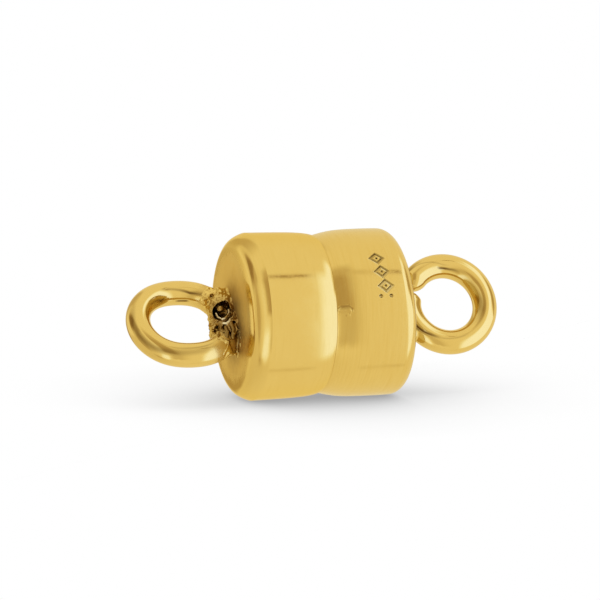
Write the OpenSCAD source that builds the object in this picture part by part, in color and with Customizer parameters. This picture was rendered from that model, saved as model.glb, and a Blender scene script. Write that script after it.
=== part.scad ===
// Magnetic barrel clasp for a necklace or bracelet, lying closed on its side.
// Two short drums of plated silver meet at a shallow V groove. Each one is a cup that holds a
// disc magnet, with a round wire ring soldered to its closed end.
// Millimetres. +X runs along the barrel towards the round ring, +Z is up, and the origin is on
// the surface that the clasp lies on, under the middle of the seam.

/* [Barrel] */
// Largest diameter of the barrel, just inside its rounded ends
barrel_d = 6.0; // [6:0.1:8]
// Length of one half, from the middle of the seam to its flat end
half_len = 3.05; // [2.5:0.05:4]
// Radius of the rounded edge at the left half's flat end
left_end_round = 0.6; // [0.3:0.05:0.8]
// Radius of the tighter rounded edge at the right half's flat end
right_end_round = 0.5; // [0.3:0.05:0.8]
// How much the side narrows towards the seam, in degrees
side_taper = 1.4; // [0:0.1:2]
// Thickness of the closed end that carries the ring
end_wall = 0.5; // [0.4:0.05:0.7]

/* [Seam] */
// Clearance between the two halves when the clasp is closed
seam_gap = 0.04; // [0.02:0.01:0.1]
// Length of the left half's rounded lip, along the barrel
left_lip_len = 0.6; // [0.2:0.05:0.8]
// Drop of the left half's lip towards the barrel's axis
left_lip_drop = 0.15; // [0.1:0.01:0.45]
// Length of the right half's longer, softer shoulder, along the barrel
right_lip_len = 0.95; // [0.3:0.05:1]
// Drop of the right half's shoulder towards the barrel's axis
right_lip_drop = 0.17; // [0.1:0.01:0.45]

/* [Magnets] */
// Diameter of each disc magnet
magnet_d = 4.4; // [3:0.1:4.4]
// Radial clearance between a magnet and the cup around it
magnet_fit = 0.03; // [0.01:0.01:0.1]
// Depth of each magnet's face below the parting face
magnet_recess = 0.05; // [0.02:0.01:0.1]
// Bevel on the edge of each magnet
magnet_bevel = 0.12; // [0.05:0.01:0.2]

/* [Rings] */
// Diameter of the round wire of both rings
wire_d = 0.88; // [0.7:0.02:1]
// How far each ring stands out from the flat end of its half
ring_stand = 3.88; // [3.8:0.02:4]
// Half of the left ring's length, to the middle of its wire
left_eye_half_len = 1.65; // [1.6:0.05:1.7]
// Half of the left ring's width, to the middle of its wire
left_eye_half_width = 1.46; // [1.4:0.02:1.5]
// Lean of the left ring away from upright, in degrees
left_lean = 48; // [0:1:60]
// Height of the left ring's middle above the barrel's axis
left_rise = -0.17; // [-0.2:0.01:0.2]
// Radius of the round right ring, to the middle of its wire
right_eye_radius = 1.45; // [1.4:0.01:1.5]
// Lean of the right ring away from upright, in degrees
right_lean = 26; // [0:1:60]
// Height of the right ring's middle above the barrel's axis
right_rise = 0.16; // [-0.2:0.01:0.2]

/* [Joints of the rings] */
// Radius of the rough mass of solder round the foot of the left ring
left_solder_r = 0.64; // [0.5:0.02:0.66]
// Half of the length of that mass, between the middles of its round ends
left_solder_half = 0.7; // [0.4:0.05:0.8]
// Distance of the middle of that mass from the flat end
left_solder_out = 0.25; // [0.15:0.05:0.3]
// Radius of the small foot of solder under the right ring
right_solder_r = 0.38; // [0.3:0.02:0.42]
// Width of the saw cut where the right ring's wire ends meet
cut_w = 0.05; // [0.02:0.01:0.1]
// Place of the saw cut round the ring, in degrees above the barrel's side of it
cut_angle = 28; // [20:1:60]

/* [Hidden] */

$fn = 96;
arc_steps = 10;
axis_z = barrel_d / 2;
wire_r = wire_d / 2;
// How far a cutting shape runs past the face that it opens
overlap = 0.1;

pocket_r = magnet_d / 2 + magnet_fit;
pocket_floor = half_len - end_wall;
// Clearance behind each magnet, at the bottom of its cup
floor_gap = 0.05;
magnet_front = seam_gap / 2 + magnet_recess;
magnet_back = pocket_floor - floor_gap;

// The left ring is pulled into an oval: two half circles, this far from its middle, and two short sides
left_stretch = left_eye_half_len - left_eye_half_width;

// Far side of each ring, and the middles of both rings, from the seam
reach = half_len + ring_stand;
left_eye_x = reach - wire_r - left_eye_half_len;
right_eye_x = reach - wire_r - right_eye_radius;

// Both ends of the right foot of solder, in the ring's plane: from the seam, then above the ring's middle
right_foot_top = [half_len + 0.2, -0.1];
right_foot_end = [half_len + 0.62, -0.95];

gold = [0.86, 0.70, 0.34];
nickel = [0.72, 0.72, 0.70];

// Quarter of an ellipse in the lip, from the parting face out to the side
function lip_arc(side_radius, len, drop) =
    [for (i = [0 : arc_steps])
        let (a = 90 * i / arc_steps)
        [side_radius - drop + drop * sin(a), seam_gap / 2 + len * (1 - cos(a))]];

// Quarter of a circle from the side round to the flat end
function end_arc(end_round) =
    [for (i = [0 : arc_steps])
        let (a = 90 * i / arc_steps)
        [axis_z - end_round * (1 - cos(a)), half_len - end_round * (1 - sin(a))]];

// Half of the section of a drum: radius first, then distance from the seam
function drum_profile(lip_len, lip_drop, end_round) =
    let (taper_len = half_len - end_round - lip_len - seam_gap / 2,
         side_radius = axis_z - taper_len * tan(side_taper))
    concat([[0, seam_gap / 2]], lip_arc(side_radius, lip_len, lip_drop),
           end_arc(end_round), [[0, half_len]]);

// Puts a piece that was made along +Z, with the seam at z = 0, on the barrel's axis towards +X
module along_barrel() {
    translate([0, 0, axis_z]) rotate([0, 90, 0]) children();
}

module drum(lip_len, lip_drop, end_round) {
    along_barrel() rotate_extrude() polygon(drum_profile(lip_len, lip_drop, end_round));
}

module pocket() {
    along_barrel() translate([0, 0, -overlap]) cylinder(r = pocket_r, h = pocket_floor + overlap);
}

module disc_magnet() {
    r = magnet_d / 2;
    b = magnet_bevel;
    color(nickel) along_barrel() rotate_extrude() polygon([
        [0, magnet_front], [r - b, magnet_front], [r, magnet_front + b],
        [r, magnet_back - b], [r - b, magnet_back], [0, magnet_back]]);
}

// Oval ring in the XY plane, with its long way along X: each half circle has one straight side
module oval_ring() {
    for (turn = [0, 180]) rotate([0, 0, turn]) {
        translate([left_stretch, 0, 0]) rotate([0, 0, -90])
            rotate_extrude(angle = 180) translate([left_eye_half_width, 0]) circle(r = wire_r);
        translate([-left_stretch, left_eye_half_width, 0]) rotate([0, 90, 0])
            cylinder(r = wire_r, h = 2 * left_stretch);
    }
}

// Round ring in the XY plane, with the saw cut of a jump ring
module jump_ring() {
    difference() {
        rotate_extrude() translate([right_eye_radius, 0]) circle(r = wire_r);
        rotate([0, 0, 180 - cut_angle])
            translate([right_eye_radius - wire_d, -cut_w / 2, -wire_d])
                cube([2 * wire_d, cut_w, 2 * wire_d]);
    }
}

// Bead of solder with round ends, from p to q in the XY plane
module bead(p, q, r) {
    span = norm(q - p);
    translate([p[0], p[1], 0]) rotate([0, 0, atan2(q[1] - p[1], q[0] - p[0])]) {
        sphere(r = r);
        rotate([0, 90, 0]) cylinder(r = r, h = span);
        translate([span, 0, 0]) sphere(r = r);
    }
}

// Stands a piece that was made in the XY plane upright along the barrel, then leans it back
module leaning(lean, rise) {
    translate([0, 0, axis_z + rise]) rotate([90 - lean, 0, 0]) children();
}

// Made towards +X, like the right half, and then mirrored to its own side of the seam
module left_half() {
    foot_x = half_len + left_solder_out;
    color(gold) mirror([1, 0, 0]) difference() {
        union() {
            drum(left_lip_len, left_lip_drop, left_end_round);
            leaning(left_lean, left_rise) translate([left_eye_x, 0, 0]) oval_ring();
            leaning(left_lean, 0)
                bead([foot_x, -left_solder_half], [foot_x, left_solder_half], left_solder_r);
        }
        pocket();
    }
}

module right_half() {
    color(gold) difference() {
        union() {
            drum(right_lip_len, right_lip_drop, right_end_round);
            leaning(right_lean, right_rise) translate([right_eye_x, 0, 0]) jump_ring();
            leaning(right_lean, right_rise) bead(right_foot_top, right_foot_end, right_solder_r);
        }
        pocket();
    }
}

module left_magnet() {
    mirror([1, 0, 0]) disc_magnet();
}

module right_magnet() {
    disc_magnet();
}

left_half();
left_magnet();
right_half();
right_magnet();
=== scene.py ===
# %% [markdown]
# # A magnetic barrel clasp, dressed in Blender
# The clasp is two small silver cups, plated with gold, that meet at a V groove. Each cup holds a
# disc magnet and ends in a soldered wire ring. The solids come from the CAD pack and fix every
# size. This script builds the skins that the eye sees: turned cups, bent wire and rough solder.
# All shapes are worked out in millimetres and turned into metres when a mesh is made.

# %% Load the solids
import math

import bpy
import numpy as np
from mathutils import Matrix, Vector


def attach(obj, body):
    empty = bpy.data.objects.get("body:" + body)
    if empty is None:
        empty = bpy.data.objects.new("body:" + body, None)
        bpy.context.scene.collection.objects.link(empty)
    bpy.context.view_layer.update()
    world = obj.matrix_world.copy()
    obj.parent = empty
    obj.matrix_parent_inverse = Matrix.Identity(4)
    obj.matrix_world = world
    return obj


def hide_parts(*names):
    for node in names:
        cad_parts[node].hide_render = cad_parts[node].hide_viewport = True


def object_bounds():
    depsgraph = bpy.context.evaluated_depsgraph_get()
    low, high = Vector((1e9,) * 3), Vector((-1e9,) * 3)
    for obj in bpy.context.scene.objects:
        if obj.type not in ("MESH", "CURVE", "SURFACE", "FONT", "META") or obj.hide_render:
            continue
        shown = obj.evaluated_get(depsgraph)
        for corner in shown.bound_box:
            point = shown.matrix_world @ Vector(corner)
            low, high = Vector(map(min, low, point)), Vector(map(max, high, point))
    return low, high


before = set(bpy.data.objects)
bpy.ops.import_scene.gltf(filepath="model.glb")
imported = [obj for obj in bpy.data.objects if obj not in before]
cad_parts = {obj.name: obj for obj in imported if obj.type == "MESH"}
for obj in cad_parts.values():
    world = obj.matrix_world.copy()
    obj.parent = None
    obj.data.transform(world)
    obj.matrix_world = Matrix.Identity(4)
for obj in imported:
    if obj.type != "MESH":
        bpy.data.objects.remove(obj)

MM = 0.001
cad_low, cad_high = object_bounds()
print("CAD box in mm:", [round(v / MM, 2) for v in (*cad_low, *cad_high)])

# %% [markdown]
# ## The sizes that every piece shares
# The numbers repeat the CAD's own, because a skin has to sit exactly where its solid is. The
# barrel lies along X, its seam is at x = 0, and its axis is one radius above the floor.

# %% Shared sizes
BARREL_R = 3.0
HALF_LEN = 3.05
SEAM_HALF_GAP = 0.003
POCKET_R = 2.23
POCKET_FLOOR = 2.55
WIRE_R = 0.44
LEFT_LEAN, LEFT_RISE = 48.0, -0.17
RIGHT_LEAN, RIGHT_RISE = 26.0, 0.16
LEFT_EYE = dict(x=4.84, half_len=1.65, half_width=1.46)
RIGHT_EYE = dict(x=5.04, half_len=1.45, half_width=1.45)
axis_at = (cad_high.z + cad_low.z) / 2 / MM
print("barrel axis", round(axis_at, 3), "mm up; the rings reach", round(cad_high.x / MM, 2), "mm")

# %% [markdown]
# ## Camera
# The clasp is seen from its front and a little from the left, from just above. A long lens from
# 200 mm away keeps the two ends nearly the same size, as a product photograph does.

# %% Camera
CAMERA_AZIMUTH, CAMERA_ELEVATION = math.radians(17.7), math.radians(7.2)
CAMERA_DISTANCE, CAMERA_LENS = 200.0, 335.3
FRAME_SHIFT_RIGHT, FRAME_SHIFT_UP = 0.4707, -0.5000
SENSOR_WIDTH, SEES_FROM, SEES_TO = 36, 0.005, 20


def new_object(name, data):
    """An object in the scene for a camera or a mesh."""
    made = bpy.data.objects.new(name, data)
    bpy.context.scene.collection.objects.link(made)
    return made


toward_camera = Vector((-math.sin(CAMERA_AZIMUTH) * math.cos(CAMERA_ELEVATION),
                        -math.cos(CAMERA_AZIMUTH) * math.cos(CAMERA_ELEVATION),
                        math.sin(CAMERA_ELEVATION)))
camera_right = Vector((math.cos(CAMERA_AZIMUTH), -math.sin(CAMERA_AZIMUTH), 0))
camera_up = toward_camera.cross(camera_right)
camera_data = bpy.data.cameras.new("product_camera")
camera_data.lens = CAMERA_LENS
camera_data.sensor_width = SENSOR_WIDTH
camera_data.clip_start, camera_data.clip_end = SEES_FROM, SEES_TO
camera = new_object("product_camera", camera_data)
seam_middle = Vector((0, 0, BARREL_R))
camera.location = MM * (seam_middle + toward_camera * CAMERA_DISTANCE
                        - camera_right * FRAME_SHIFT_RIGHT - camera_up * FRAME_SHIFT_UP)
camera.rotation_mode = "QUATERNION"
camera.rotation_quaternion = toward_camera.to_track_quat("Z", "Y")
bpy.context.scene.camera = camera
bpy.context.scene.view_settings.view_transform = "Standard"
bpy.context.scene.view_settings.look = "None"
print("camera", [round(v / MM, 1) for v in camera.location], "mm, lens", CAMERA_LENS)

# %% [markdown]
# ## From a grid of points to a mesh
# Turned and swept shapes are grids: one way along the profile, the other way round. Polished
# metal shows every wrong normal, so the exact normals are worked out from the shape and stored
# with the mesh, instead of being averaged from its faces.

# %% Grid mesh helper
def finish_mesh(name, points, normals, faces):
    """A Blender object from points in mm, their outward normals, and faces of 3 or 4 corners."""
    normals = normals / np.maximum(np.linalg.norm(normals, axis=1, keepdims=True), 1e-12)
    probe = faces[len(faces) // 2]
    a, b, c = points[probe[:3]]
    if np.dot(np.cross(b - a, c - a), normals[probe[0]]) < 0:
        faces = [face[::-1] for face in faces]
    mesh = bpy.data.meshes.new(name)
    mesh.from_pydata((points * MM).tolist(), [], faces)
    mesh.polygons.foreach_set("use_smooth", [True] * len(mesh.polygons))
    mesh.normals_split_custom_set_from_vertices(normals.tolist())
    mesh.validate(clean_customdata=False)
    print(name, len(mesh.vertices), "points,", len(mesh.polygons), "faces")
    return new_object(name, mesh)


def keep_share(piece, name, share):
    """Stores a share from 0 to 1 with each point of a piece, for its finish to use."""
    piece.data.attributes.new(name, "FLOAT", "POINT").data.foreach_set("value", share)


def ends_merged(grid):
    """A grid's values in one list, in which the first row and the last row count once each."""
    return np.concatenate([grid[:1, 0], grid[1:-1].reshape(-1, *grid.shape[2:]), grid[-1:, 0]])


def grid_piece(name, points, normals, hollow):
    """A tube from a grid of points (rows, columns, xyz) whose first and last row are one point each.

    hollow is the darker share at each point: tarnish in dents, painted reflection and shade elsewhere."""
    rows, columns, _ = points.shape
    index = np.arange(rows * columns).reshape(rows, columns) - (columns - 1)
    index[0], index[-1] = 0, index[-1, 0]
    below, above = index[:-1], index[1:]
    corners = np.stack([below, np.roll(below, -1, axis=1), np.roll(above, -1, axis=1), above], -1)
    faces = [list(dict.fromkeys(quad)) for quad in corners.reshape(-1, 4).tolist()]
    piece = finish_mesh(name, ends_merged(points), ends_merged(normals), faces)
    keep_share(piece, "hollow", ends_merged(hollow))
    return piece


# %% [markdown]
# ## The section of a cup
# A real cup is spun or pressed from sheet, then polished, so its edges are soft and no two are
# alike. Seen in section it is one line that bends more or less tightly. Each stretch is described
# by its tilt: 0 where the metal faces straight out, 90 where it faces the seam, and -90 where it
# faces away from it. Exact normals follow from the tilt.

# %% Cup section
def facing(tilt):
    """Unit normals, outward and away from the seam, for tilts in degrees."""
    turn = np.radians(tilt)
    return np.stack([np.cos(turn), -np.sin(turn)], -1)


def straight(start, end, tilt, steps=2):
    """Points along a straight run: radius, distance from the seam, and the normal's two parts."""
    share = np.linspace(0, 1, steps)[:, None]
    run = np.array(start) + share * (np.array(end) - np.array(start))
    return np.hstack([run, facing(np.full(steps, tilt))])


def rounded(start, radius, tilt_from, tilt_to, steps=14):
    """An arc that begins at start; a negative radius makes it hollow."""
    normal = facing(np.linspace(tilt_from, tilt_to, steps))
    return np.hstack([np.array(start) + radius * (normal - normal[0]), normal])


def running(steps):
    """The running total of some steps, from 0."""
    return np.concatenate([[0], np.cumsum(steps)])


def bent_side(start_radius, bends, steps):
    """A side through a list of (distance from the seam, tilt); the radius follows from the tilts."""
    places, tilts = np.array(bends).T
    along = np.linspace(places[0], places[-1], steps)
    tilt = np.interp(-along, -places, tilts)
    lean = np.tan(np.radians((tilt[1:] + tilt[:-1]) / 2))
    radius = start_radius + running(np.diff(along) * lean)
    return np.hstack([np.stack([radius, along], -1), facing(tilt)])


MOUTH_ROUND, FLOOR_ROUND = 0.04, 0.06
SAME_PLACE = 1e-6


def cup_section(end_bends, side_bends, side_steps, end_radius=BARREL_R):
    """Closed section of a cup, from the middle of its end out, along the side and back in.

    end_bends lists (radius of bend, tilt reached), from the side to the middle of the end."""
    side = bent_side(end_radius, side_bends, side_steps)
    end, at, tilt = [], side[0, :2], side_bends[0][1]
    for radius, reached in end_bends:
        end.append(rounded(at, radius, tilt, reached))
        at, tilt = end[-1][-1, :2], reached
    end = np.vstack(end)[::-1]
    rim, rim_tilt = side[-1, :2], side_bends[-1][1]
    rim_round = (rim[1] - SEAM_HALF_GAP) / (1 - math.sin(math.radians(rim_tilt)))
    lip = rounded(rim, rim_round, rim_tilt, 90, 10)
    mouth = (POCKET_R + MOUTH_ROUND, SEAM_HALF_GAP)
    wall_top = (POCKET_R, SEAM_HALF_GAP + MOUTH_ROUND)
    wall_end = (POCKET_R, POCKET_FLOOR - FLOOR_ROUND)
    inner = (POCKET_R - FLOOR_ROUND, POCKET_FLOOR)
    section = np.vstack([
        straight((0, end[0, 1]), end[0, :2], -90, 6), end, side, lip,
        straight(lip[-1, :2], mouth, 90, 3), rounded(mouth, MOUTH_ROUND, 90, 180, 5),
        straight(wall_top, wall_end, 180, 4), rounded(wall_end, -FLOOR_ROUND, 180, 90, 5),
        straight(inner, (0, POCKET_FLOOR), 90, 4)])
    keep = np.ones(len(section), bool)
    keep[1:] = np.linalg.norm(np.diff(section[:, :2], axis=0), axis=1) > SAME_PLACE
    return section[keep]


# %% [markdown]
# ## Three curves that come back everywhere
# Slants, dents, streaks, grime and rounded ends all fade from none to whole. Three short curves
# describe every one of them, as a share from 0 to 1.

# %% Shares
def share_past(value, start, over=1):
    """0 up to start, then rising to 1 over that length."""
    return np.clip((value - start) / over, 0, 1)


def eased(share):
    """The same share, but with a gentle start and end."""
    return share * share * (3 - 2 * share)


def dome(distance, radius):
    """1 in the middle, falling in a round curve to 0 at the radius."""
    return np.clip(1 - (distance / radius) ** 2, 0, 1)


# %% [markdown]
# ## Spinning the section
# The section is turned round the barrel's axis. The columns may lie closer together where small
# marks are punched into the side, so that the marks are true dents in the metal. The closed ends
# were trimmed a little out of square, which slants them by a degree or two. Tarnish settles in the
# dents, so its share at each point is stored with the mesh, for the finish to use.

# %% Spin a section
# the slant starts this far from the seam and is whole after this length
SLANT_FROM, SLANT_OVER = 1.3, 1.1
# dents are cut only where the metal faces outward this much, and their slope is felt over this step
SIDE_FACING, FEEL = 0.9, 0.004
# share of tarnish in a dent, and the depth from which it is whole
DENT_TARNISH, DENT_TARNISHED_AT = 0.30, 0.012


def spin(name, section, angles, toward, slant, dent=None):
    """Turns a section round the barrel's axis. toward is +1 or -1; slant tilts the closed end."""
    radius, along, out, back = section.T[..., None]
    turn = np.radians(angles)[None, :]
    depth = slope_along = slope_round = np.zeros((len(section), len(angles)))
    if dent is not None:
        arc = BARREL_R * turn
        deeper_along = dent(along + FEEL, arc) - dent(along - FEEL, arc)
        deeper_round = dent(along, arc + FEEL) - dent(along, arc - FEEL)
        dented = (dent(along, arc), deeper_along / (2 * FEEL), deeper_round / (2 * FEEL))
        depth, slope_along, slope_round = (np.where(out > SIDE_FACING, value, 0) for value in dented)
    r = radius - depth
    height = r * np.sin(turn)
    lean = math.tan(math.radians(slant)) * eased(share_past(along, SLANT_FROM, SLANT_OVER))
    points = np.stack([toward * (along + 0 * turn) - lean * height, -r * np.cos(turn), axis_at + height], -1)
    across, up = out + 0 * turn, toward * (back + slope_along)
    normals = np.stack([up, -across * np.cos(turn) - slope_round * np.sin(turn),
                        across * np.sin(turn) - slope_round * np.cos(turn) + lean * up], -1)
    return grid_piece(name, points, normals, DENT_TARNISH * share_past(depth, 0, DENT_TARNISHED_AT))


# %% [markdown]
# ## The left cup
# Its side curls gently over towards the seam, where the photograph shows a bright band. At the
# closed end polishing has left a soft bevel between the side and the round, and the end itself is
# very slightly domed outside a flat middle.

# %% Left cup
LEFT_END = ((0.05, -16), (1.30, -31), (0.53, -80), (2.4, -88), (50, -90))
LEFT_SIDE = ((2.46, 1.0), (1.43, 1.5), (1.1, 2.1), (0.7, 3.6), (0.38, 7), (0.15, 13), (0.015, 22))
LEFT_SLANT = 0.1

left_section = cup_section(LEFT_END, LEFT_SIDE, 44)
left_cup = spin("left_cup", left_section, np.linspace(0, 360, 256, endpoint=False), -1, LEFT_SLANT)

# %% [markdown]
# ## The right cup
# Its shoulder is longer and softer, and its end round is tighter. The marks on its upper front
# are small punched lozenges and dots that stand for nothing. Beside the seam the other half has
# left a shallow crescent and a few fine scratches. Plain depth functions describe them all, and
# the grid is made finer there to carry them.

# %% Right cup
MARK_DEPTH = 0.05
HALF_ALONG, HALF_ARC, STROKE = 0.25, 0.20, 0.07
# the way across a slanting side, as a share of the way along the arc
ACROSS_SIDE = 0.8
LOZENGE_DOT_R, DOT_R = 0.055, 0.075


def lozenge(along, arc, at):
    """Depth share of the outline of a lozenge, 1 in the middle of the punched line."""
    size = np.abs(along - at[0]) / HALF_ALONG + np.abs(arc - at[1]) / HALF_ARC
    return 1 - share_past(np.abs(size - 1) * HALF_ARC * ACROSS_SIDE, 0, STROKE)


# below a scratch distances count only this much, so that its lower flank is wide and gentle
LOWER_FLANK = 0.3


def scratch(along, arc, start, end, half_width):
    """Share of a fine scratch, 1 along its middle."""
    line = np.array(end) - np.array(start)
    share = np.clip(((along - start[0]) * line[0] + (arc - start[1]) * line[1]) / (line @ line), 0, 1)
    aside, above = along - start[0] - share * line[0], arc - start[1] - share * line[1]
    distance = np.hypot(aside, np.where(above > 0, above, above * LOWER_FLANK))
    return dome(distance, half_width)


# from, to, half width and depth of each; the first three make one crescent
SCRATCHES = (((0.01, 0.55), (0.12, 0.63), 0.05, 0.016), ((0.12, 0.63), (0.42, 0.65), 0.05, 0.012),
             ((0.42, 0.65), (0.53, 0.52), 0.05, 0.010), ((0.30, 0.30), (0.27, -1.00), 0.03, 0.006),
             ((0.42, 0.36), (0.38, -0.70), 0.03, 0.006), ((0.17, 0.20), (0.15, -0.85), 0.025, 0.006))
LOZENGES = ((1.72, 2.44), (1.80, 1.87), (1.86, 1.32))
DOTS = ((1.62, 0.95), (2.02, 0.95))


def punched_marks(along, arc):
    depth = 0
    for at in LOZENGES:
        depth = np.maximum(depth, lozenge(along, arc, at))
    for at in LOZENGES + DOTS:
        radius = LOZENGE_DOT_R if at in LOZENGES else DOT_R
        depth = np.maximum(depth, dome(np.hypot(along - at[0], arc - at[1]), radius))
    marks = MARK_DEPTH * eased(depth)
    for start, end, half_width, deepest in SCRATCHES:
        marks = np.maximum(marks, deepest * scratch(along, arc, start, end, half_width))
    return marks


RIGHT_END = ((0.47, -90),)
RIGHT_SIDE = ((2.56, -2.2), (2.3, -1.2), (1.9, 0), (1.5, 0.4), (1.2, 1.6), (0.9, 4.5), (0.6, 9.5),
              (0.3, 13), (0.12, 16), (0.015, 20))
RIGHT_END_R = 2.99
RIGHT_SLANT = 2.1
right_section = cup_section(RIGHT_END, RIGHT_SIDE, 120, end_radius=RIGHT_END_R)
# columns every 0.45 degrees over the marks, and every 1.5 elsewhere
angles = np.concatenate([np.arange(6, 54, 0.45), np.arange(54, 366, 1.5)])
right_cup = spin("right_cup", right_section, angles, 1, RIGHT_SLANT, dent=punched_marks)

# %% [markdown]
# ## Standing a ring on a cup
# Both rings lean back from upright, by the angle that their ellipses show in the photograph. A
# ring is worked out flat, as distance from the seam and height in its own plane, and then
# leaned.

# %% Leaning frames
def leaning_frame(lean, rise, toward):
    """Origin of a ring's plane, and its three directions: along the barrel, up it, and across it."""
    tilt = math.radians(lean)
    directions = ((toward, 0, 0), (0, math.sin(tilt), math.cos(tilt)), (0, -math.cos(tilt), math.sin(tilt)))
    return np.array((0, 0, axis_at + rise)), np.array(directions)


def placed(local, plane):
    """Points given along, up and across a ring's plane, in the clasp's own frame."""
    return plane[0] + local @ plane[1]


def in_plane(p, plane):
    """Points of the clasp's frame as along, up and across a ring's plane."""
    return (p - plane[0]) @ plane[1].T


left_plane = leaning_frame(LEFT_LEAN, LEFT_RISE, -1)
right_plane = leaning_frame(RIGHT_LEAN, RIGHT_RISE, 1)
print("the rings lean back", LEFT_LEAN, "and", RIGHT_LEAN, "degrees")

# %% [markdown]
# ## Bent wire
# The wire is swept along its centre line. Its thickness may change along the way, so that a cut
# end can round off. Pliers and the drawplate leave shallow streaks along such wire. Their dark
# colour is painted reflection and painted shade: it stands in for the dark bands that the wire
# reflects and for the dark crevice by the right ring's solder. A streak is a line of places, each
# with its angle along the ring, its angle round the wire and its strength, and it has a half width
# and a depth. It sinks the surface a little, and its share is stored for the finish to darken.

# %% Streaks in the wire
def streak_share(turns, rounds, line, half_width):
    """How much of one streak there is at each angle along and round the wire, from 0 to 1."""
    along, middle, strength = np.array(sorted(line), float).T
    middle_at = np.interp(turns, along, middle)[:, None]
    strength_at = np.interp(turns, along, strength, left=0, right=0)[:, None]
    away = (rounds[None, :] - middle_at + 180) % 360 - 180
    return strength_at * dome(np.radians(np.abs(away)) * WIRE_R, half_width) ** 2


# %% Sweep a wire
# the thinnest the wire counts as when its slopes are worked out, and the steepest slope along it
THINNEST, STEEPEST = 0.05, 6


def length_along(line):
    """How far each point of a line is from its start."""
    return running(np.linalg.norm(np.diff(line, axis=0), axis=1))


def rounded_end(distance, length):
    """Share of the full thickness at a distance from a wire's end that is rounded over that length."""
    return np.sqrt(dome(1 - share_past(distance, 0, length), 1))


def swept_wire(name, centre, turns, ends, plane, streaks, columns=144):
    """A wire along centre, (n, 2) points in a ring's plane, with the angle of each in turns.

    ends are the two lengths over which it rounds off to a point at its start and at its end."""
    run = length_along(centre)
    radius = WIRE_R * rounded_end(run, ends[0]) * rounded_end(run[-1] - run, ends[1])
    heading = np.gradient(centre, axis=0)
    step = np.linalg.norm(heading, axis=1, keepdims=True)
    heading /= step
    frames = np.zeros((len(centre), 3, 3))
    frames[:, 0, :2], frames[:, 1, 2], frames[:, 2, :2] = heading[:, ::-1] * (1, -1), 1, heading
    round_at = np.linspace(0, 360, columns, endpoint=False)
    cosine, sine = np.cos(np.radians(round_at)), np.sin(np.radians(round_at))
    share = sunk = np.zeros((len(centre), columns))
    # each streak sinks the wire a little, and its share darkens the colour as painted reflection
    for line, half_width, depth in streaks:
        streak = streak_share(turns, round_at, line, half_width)
        share, sunk = np.maximum(share, streak), np.maximum(sunk, depth * streak)
    thickness = radius[:, None] - sunk * np.clip(radius / WIRE_R, 0, 1)[:, None]
    middle = np.pad(centre, ((0, 0), (0, 1)))[:, None, :]
    skin = np.stack([thickness * cosine, thickness * sine, 0 * thickness], -1)
    column_turn = math.radians(360 / columns)
    round_slope = (np.roll(thickness, -1, axis=1) - np.roll(thickness, 1, axis=1)) / (2 * column_turn)
    round_slope = round_slope / np.maximum(thickness, THINNEST)
    along_slope = np.clip(np.gradient(thickness, axis=0) / step, -STEEPEST, STEEPEST)
    outward = np.stack([cosine + round_slope * sine, sine - round_slope * cosine, -along_slope], -1)
    return grid_piece(name, placed(middle + skin @ frames, plane), outward @ frames @ plane[1], share)


# %% [markdown]
# ## The left ring
# Pulled into a slight oval when it was soldered, it runs into the solder with both ends, which
# round off inside it. The oval is two half circles a little apart.

# %% Centre line of the oval
# how sharply the half circles pass into the short straight sides
OVAL_PASSING = 3.0


def oval_line(eye, count, finer=20):
    """Points evenly spaced round an oval, and the angle of each. A finer line is measured first."""
    stretch = eye["half_len"] - eye["half_width"]
    turn = np.linspace(-math.pi, math.pi, finer * count + 1)
    shifted = eye["half_width"] * np.cos(turn) + stretch * np.tanh(OVAL_PASSING * np.cos(turn))
    line = np.stack([eye["x"] + shifted, eye["half_width"] * np.sin(turn)], -1)
    length = length_along(line)
    even = np.linspace(0, length[-1], count, endpoint=False)
    x, height, at = (np.interp(even, length, values) for values in (*line.T, np.degrees(turn)))
    return np.stack([x, height], -1), at


# %% Left ring
# each streak of painted dark reflection: its course of (angle along, angle round, strength), its
# half width and its depth; the last is a gas pit, darkened as painted shade
LEFT_STREAKS = (
    (((66, 102, 0), (78, 106, 0.35), (91, 116, 0.5), (104, 129, 1.0), (119, 124, 0.5),
      (135, 106, 0.4), (145, 100, 0)), 0.08, 0.022),
    (((86, 171, 0), (91, 171, 0.9), (101, 169, 0.9), (106, 169, 0)), 0.065, 0.014),
    (((32, 122, 0), (38, 133, 0.2), (50, 146, 0.3), (64, 153, 0.3), (72, 146, 0.3), (77, 141, 0)),
     0.045, 0.010),
    (((32, 122, 0), (40, 119, 0.2), (52, 121, 0.3), (66, 129, 0.25), (77, 141, 0)), 0.045, 0.010),
    (((25, 56, 0), (7, 51, 0.4), (-20, 42, 0.6), (-46, 42, 0.55), (-76, 60, 0.35), (-99, 70, 0.3),
      (-120, 84, 0)), 0.17, 0.012),
    (((-60, 76, 0), (-80, 83, 0.35), (-103, 91, 0.45), (-122, 102, 0)), 0.06, 0.012),
    (((129, 107, 0), (132, 107, 1.0), (138, 107, 1.0), (141, 108, 0)), 0.09, 0.070),
)
# the wire runs this far round from its far side, both ways, and rounds off over these lengths
LEFT_END_TURN, LEFT_ENDS = 153.0, (0.3, 0.3)

oval, turns = oval_line(LEFT_EYE, 280)
kept = np.abs(turns) < LEFT_END_TURN
left_ring = swept_wire("left_ring", oval[kept], turns[kept], LEFT_ENDS, left_plane, LEFT_STREAKS)

# %% [markdown]
# ## The right ring
# This is an open jump ring. Its lower end comes up beside the cup and stops in a rounded tip;
# the upper end tapers down to meet it, a little further out.

# %% Right ring
RING_START_TURN, RING_TIP_TURN, RIGHT_ENDS = 157.0, -201.0, (0.55, 0.34)
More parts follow.
